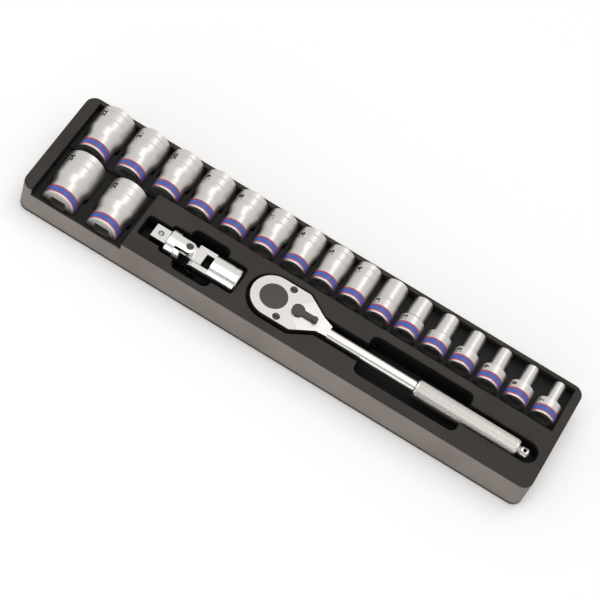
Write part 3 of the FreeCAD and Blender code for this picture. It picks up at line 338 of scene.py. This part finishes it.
def chrome_polished_lacquer_bands(name):
    """Chrome with rolled lacquer rings: a soft bright sheen, fine turning lines, and plain colour at the bands."""
    low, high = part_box(name)
    material = new_material("chrome_polished_lacquer_bands_" + name)
    place = add(material, "ShaderNodeTexCoord")
    drive_end = (-(low.x + high.x) / 2, -low.y, -(low.z + high.z) / 2)
    local = add(material, "ShaderNodeMapping", {"Location": drive_end}, {"Vector": place.outputs["Object"]})
    split = add(material, "ShaderNodeSeparateXYZ", None, {"Vector": local.outputs["Vector"]})
    along = add(material, "ShaderNodeMath", {"operation": "MULTIPLY", 1: 1000 / BAND_SPAN_MM},
                {0: split.outputs["Y"]})
    bands = add(material, "ShaderNodeValToRGB", None, {"Fac": along.outputs[0]},
                [(mm / BAND_SPAN_MM, linear(code)) for mm, code in BAND_MM])
    bands.color_ramp.interpolation = "CONSTANT"
    painted = add(material, "ShaderNodeValToRGB", None, {"Fac": along.outputs[0]},
                  [(0.0, MASK_OFF), (BAND_MM[1][0] / BAND_SPAN_MM, MASK_ON),
                   (BAND_MM[4][0] / BAND_SPAN_MM, MASK_OFF)])
    painted.color_ramp.interpolation = "CONSTANT"
    across = add(material, "ShaderNodeVectorMath", {"operation": "MULTIPLY", 1: (1, 0, 1)},
                 {0: local.outputs["Vector"]})
    radius = add(material, "ShaderNodeVectorMath", {"operation": "LENGTH"}, {0: across.outputs["Vector"]})
    outside = add(material, "ShaderNodeMath", {"operation": "GREATER_THAN", 1: PAINT_RADIUS_MM / 1000},
                  {0: radius.outputs["Value"]})
    paint = add(material, "ShaderNodeMath", {"operation": "MULTIPLY"},
                {0: painted.outputs["Color"], 1: outside.outputs[0]})
    colour = add(material, "ShaderNodeMix", {"data_type": "RGBA", MIX_A: linear(BAND_MM[0][1])},
                 {MIX_FACTOR: paint.outputs[0], MIX_B: bands.outputs["Color"]})
    metal = add(material, "ShaderNodeMath", {"operation": "SUBTRACT", 0: 1.0}, {1: paint.outputs[0]})
    squeeze = add(material, "ShaderNodeMapping", {"Scale": (TURNING_SQUEEZE, 1, TURNING_SQUEEZE)},
                  {"Vector": place.outputs["Object"]})
    lines = add(material, "ShaderNodeTexNoise", {"Scale": 1000 / TURNING_MM, "Detail": 1.5},
                {"Vector": squeeze.outputs["Vector"]})
    gloss = add(material, "ShaderNodeMapRange", {"To Min": 0.34, "To Max": 0.46}, {"Value": lines.outputs["Fac"]})
    relief = add(material, "ShaderNodeBump", {"Strength": 0.12, "Distance": TURNING_DEPTH_MM / 1000},
                 {"Height": lines.outputs["Fac"]})
    return finish_material(material, None,
                           {"Base Color": colour.outputs[MIX_RESULT], "Metallic": metal.outputs[0],
                            "Roughness": gloss.outputs["Result"], "Normal": relief.outputs["Normal"]})


for name in SOCKETS:
    dress([name], chrome_polished_lacquer_bands(name))
print("sockets dressed:", len(SOCKETS))


# %% [markdown]
# The ratchet is forged and then satin chromed: the blank is blasted before plating, so the chrome is pale and soft
# rather than a mirror. Its cover plate is ground flat, the universal joint is polished first and so is brighter, and
# the small parts are bare or blackened steel. All use one recipe with a different grit: fine noise in the roughness
# and a slight bump. Real grit is nearer 0.1 mm; it is drawn coarser, because finer grains would not show.

# %% Steel finishes
GRIT_DEPTH_MM = 0.05


def steel_finish(name, tone, grit_mm, dull, bump):
    """Steel, plated or bare, after its last grit: noise of that size sets how far the reflections spread."""
    material = new_material(name)
    place = add(material, "ShaderNodeTexCoord")
    grit = add(material, "ShaderNodeTexNoise", {"Scale": 1000 / grit_mm, "Detail": 2.0},
               {"Vector": place.outputs["Object"]})
    roughness = add(material, "ShaderNodeMapRange", {"To Min": dull[0], "To Max": dull[1]},
                    {"Value": grit.outputs["Fac"]})
    relief = add(material, "ShaderNodeBump", {"Strength": bump, "Distance": GRIT_DEPTH_MM / 1000},
                 {"Height": grit.outputs["Fac"]})
    return finish_material(material, {"Base Color": linear(tone), "Metallic": 1.0},
                           {"Roughness": roughness.outputs["Result"], "Normal": relief.outputs["Normal"]})


# Blasted, then chromed: pale, with a soft sheen that blurs what it mirrors.
satin_chrome = steel_finish("chrome_satin_blasted", "#cfccc8", grit_mm=0.5, dull=(0.24, 0.38), bump=0.12)
# Polished, then chromed: sharp enough to show the studio as bright and dark patches.
bright_chrome = steel_finish("chrome_bright_polished", "#d9d7d4", grit_mm=1.2, dull=(0.16, 0.26), bump=0.04)
# Ground flat, then chromed: a little darker and duller than the forging around it.
brushed_chrome = steel_finish("chrome_satin_ground_flat", "#c2bfbb", grit_mm=0.8, dull=(0.3, 0.44), bump=0.15)
# Drawn wire and hardened balls: bare grey steel with a dim gloss.
spring_steel = steel_finish("spring_steel_drawn", "#a9a7a4", grit_mm=0.4, dull=(0.25, 0.4), bump=0.1)
# Blackened and oiled: near black with a faint sheen, so it stands out clearly on the chrome.
dark_steel = steel_finish("steel_blackened_oiled", "#4a4745", grit_mm=0.5, dull=(0.34, 0.5), bump=0.15)
dress(["ratchet_body"], satin_chrome)
dress(["cover_plate"], brushed_chrome)
dress(["joint_drive_yoke", "joint_socket_yoke", "joint_block"], bright_chrome)
dress(["joint_ball", "joint_ball_spring", "drive_ball", "drive_ball_spring", "pawl_plunger", "pawl_spring"],
      spring_steel)
dress(["drive_gear", "direction_lever", "cover_screws", "pawl", "joint_socket_pin", "joint_drive_pin"], dark_steel)
print("steel parts dressed")


# %% [markdown]
# New pieces are surfaces worked out on a grid with numpy. One function turns a grid of points into a mesh object:
# the columns close into a ring, each end ring gets a cap, and the object stays at the origin with its place in the
# mesh.

# %% Grid surface helper
def ring_surface(name, points, material):
    """Mesh object from points[i, j]: rows i run along the piece, columns j go round it and close into a ring."""
    rows, columns = points.shape[:2]
    index = np.arange(rows * columns).reshape(rows, columns)
    following = np.roll(index, -1, axis=1)
    quads = np.stack([index[:-1], following[:-1], following[1:], index[1:]], axis=-1).reshape(-1, 4)
    faces = quads.tolist() + [index[0, ::-1].tolist(), index[-1].tolist()]
    mesh = bpy.data.meshes.new(name)
    mesh.from_pydata(points.reshape(-1, 3).tolist(), [], faces)
    mesh.materials.append(material)
    piece = bpy.data.objects.new(name, mesh)
    scene.collection.objects.link(piece)
    return piece


# %% [markdown]
# The grip of the ratchet is knurled: two hardened wheels roll crossing grooves into the steel and leave rows of small
# diamonds that don't slip in an oily hand. A bump could fake it, but the sparkle comes from real facets. So the
# sleeve is a true surface, with two families of V grooves that wind left and right round the grip.
# Real knurl is nearer 1 mm; it is drawn at 2 mm, because finer diamonds would vanish in a picture this small.

# %% Knurled grip
KNURL_MM = 2.0
KNURL_HEIGHT_MM = 0.32
SAMPLES_PER_GROOVE = 6


def knurled_sleeve(name, start, end, axis_y, axis_z, radius, material):
    """Diamond knurl: r = R + h min(t(x / p + n a), t(x / p - n a)), where t(s) = 1 - |2 frac(s) - 1| is a V ridge,
    p the pitch, n the number of grooves and a the share of a turn; h runs out to nothing over one pitch at each end."""
    grooves = round(2 * math.pi * radius * 1000 / KNURL_MM)
    rows = int((end - start) * 1000 / KNURL_MM * SAMPLES_PER_GROOVE) + 1
    along = np.linspace(start, end, rows)[:, None]
    turn_share = np.arange(grooves * SAMPLES_PER_GROOVE)[None, :] / (grooves * SAMPLES_PER_GROOVE)
    steps = (along - start) * 1000 / KNURL_MM

    def ridge(groove_count):
        return 1 - np.abs(2 * np.mod(groove_count, 1) - 1)

    diamonds = np.minimum(ridge(steps + grooves * turn_share), ridge(steps - grooves * turn_share))
    run_out = np.clip(np.minimum(along - start, end - along) * 1000 / KNURL_MM, 0, 1)
    r = radius + KNURL_HEIGHT_MM / 1000 * diamonds * run_out
    angle = 2 * math.pi * turn_share
    points = np.stack([along + 0 * angle, axis_y + r * np.cos(angle), axis_z + r * np.sin(angle)], axis=-1)
    return ring_surface(name, points, material)


GRIP_REAR_MM = 10.2  # from the end knob's tip to the knurl
GRIP_LENGTH_MM = 90.4
SLEEVE_LIFT_MM = 0.03  # keeps the sleeve just off the plain grip under it
# Chrome over rolled diamonds: each facet is soft, and the pattern as a whole sparkles.
knurl_chrome = steel_finish("chrome_over_rolled_knurl", "#cdc8c3", grit_mm=0.5, dull=(0.36, 0.46), bump=0.05)
low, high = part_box("ratchet_body")
grip_radius = (high.z - low.z) / 2 + SLEEVE_LIFT_MM / 1000
grip_end = high.x - GRIP_REAR_MM / 1000
grip = knurled_sleeve("grip_knurl", grip_end - GRIP_LENGTH_MM / 1000, grip_end, (low.y + high.y) / 2,
                      (low.z + high.z) / 2, grip_radius, knurl_chrome)
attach(grip, "ratchet")
print("knurl faces:", len(grip.data.polygons), "grip radius in mm:", round(grip_radius * 1000, 2))


# %% [markdown]
# Each socket carries its size, filled in black along its left side. The number is set as thick text and made a closed
# mesh: a text curve leaves its front, back and sides as separate sheets, so points that lie together are merged.
# The text has to sit on the skin, so the socket's own mesh is asked how far its skin lies from its axis there.

# %% Text as a closed mesh
STROKE_SWELL = 0.03  # shares of the text's size: how far the strokes are thickened, and half the depth of the text
TEXT_DEPTH = 0.1
MERGE_DISTANCE = 1e-5


def mesh_points(mesh):
    """All vertices of a mesh as one array of rows x, y, z."""
    points = np.empty(len(mesh.vertices) * 3)
    mesh.vertices.foreach_get("co", points)
    return points.reshape(-1, 3)


def text_points(words, height):
    """Closed mesh of a word: its middle at zero, height in metres, and which side, 1 in front and 0 behind."""
    curve = bpy.data.curves.new("words", "FONT")
    curve.body = words
    curve.size = 1.0
    curve.offset = STROKE_SWELL
    curve.extrude = TEXT_DEPTH
    curve.resolution_u = 3
    writer = bpy.data.objects.new("words", curve)
    mesh = bpy.data.meshes.new_from_object(writer)
    joined = bmesh.new()
    joined.from_mesh(mesh)
    bmesh.ops.remove_doubles(joined, verts=joined.verts, dist=MERGE_DISTANCE)
    joined.to_mesh(mesh)
    joined.free()
    points = mesh_points(mesh)
    flat, front = points[:, :2], (points[:, 2] > 0).astype(float)
    low, high = flat.min(axis=0), flat.max(axis=0)
    faces = [list(face.vertices) for face in mesh.polygons]
    bpy.data.objects.remove(writer)
    bpy.data.curves.remove(curve)
    bpy.data.meshes.remove(mesh)
    return (flat - (low + high) / 2) * height / (high[1] - low[1]), front, faces


def surface_radius(name, y_from, y_to):
    """Largest distance of a socket's mesh points from its axis, between two places along the axis."""
    points = mesh_points(nodes[name].data)
    low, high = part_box(name)
    near = (points[:, 1] >= y_from) & (points[:, 1] <= y_to)
    across = points[near][:, [0, 2]] - np.array([(low.x + high.x) / 2, (low.z + high.z) / 2])
    return float(np.hypot(across[:, 0], across[:, 1]).max())


low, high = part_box(SOCKETS[-1])
print("largest socket's radius in mm:", round(surface_radius(SOCKETS[-1], low.y, high.y) * 1000, 2))


# %% [markdown]
# Flat text would hover over a round socket, so it is wrapped: along the text is along the socket, up the text is an
# arc on its skin, and the text's thickness is a thin film, part of it sunk into the chrome. Large sockets have room
# on the nose; the small ones carry the number on the barrel, just above the bands.

# %% Size numbers
NUMBER_LIFT_MM = 0.15
NUMBER_SINK_MM = 0.1
NOSE_FROM_SIZE = 14
# How much of the end is searched for the radius, the number's middle from that end, its height, its lean in degrees.
ON_NOSE = {"reach_mm": 14.0, "middle_mm": 9.3, "height_mm": 5.0, "lean": 44}
ON_BARREL = {"reach_mm": 15.6, "middle_mm": 11.8, "height_mm": 4.2, "lean": 42}


def wrapped_number(name, words, socket, y_middle, radius, height, lean, material):
    """Text wrapped on a cylinder: (u, v) goes to y = y0 + u and an angle lean + v / R from the top, r = R + lift."""
    low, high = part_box(socket)
    flat, front, faces = text_points(words, height)
    angle = math.radians(lean) + flat[:, 1] / radius
    r = radius + (front * (NUMBER_LIFT_MM + NUMBER_SINK_MM) - NUMBER_SINK_MM) / 1000
    points = np.stack([(low.x + high.x) / 2 - r * np.sin(angle), y_middle + flat[:, 0],
                       (low.z + high.z) / 2 + r * np.cos(angle)], axis=-1)
    mesh = bpy.data.meshes.new(name)
    mesh.from_pydata(points.tolist(), [], faces)
    mesh.materials.append(material)
    piece = bpy.data.objects.new(name, mesh)
    scene.collection.objects.link(piece)
    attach(piece, socket)


# Etched and filled with black: dull strokes that stay dark from every side.
etched_black = steel_finish("steel_etched_black", "#1d1b1a", grit_mm=0.3, dull=(0.5, 0.7), bump=0.2)
for name in SOCKETS:
    low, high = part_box(name)
    digits = name[-2:]
    if int(digits) >= NOSE_FROM_SIZE:
        spot = ON_NOSE
        y_middle = high.y - spot["middle_mm"] / 1000
        radius = surface_radius(name, high.y - spot["reach_mm"] / 1000, high.y)
    else:
        spot = ON_BARREL
        y_middle = low.y + spot["middle_mm"] / 1000
        radius = surface_radius(name, low.y, low.y + spot["reach_mm"] / 1000)
    wrapped_number("number_" + digits, str(int(digits)), name, y_middle, radius, spot["height_mm"] / 1000,
                   spot["lean"], etched_black)
print("numbers made:", len(SOCKETS))
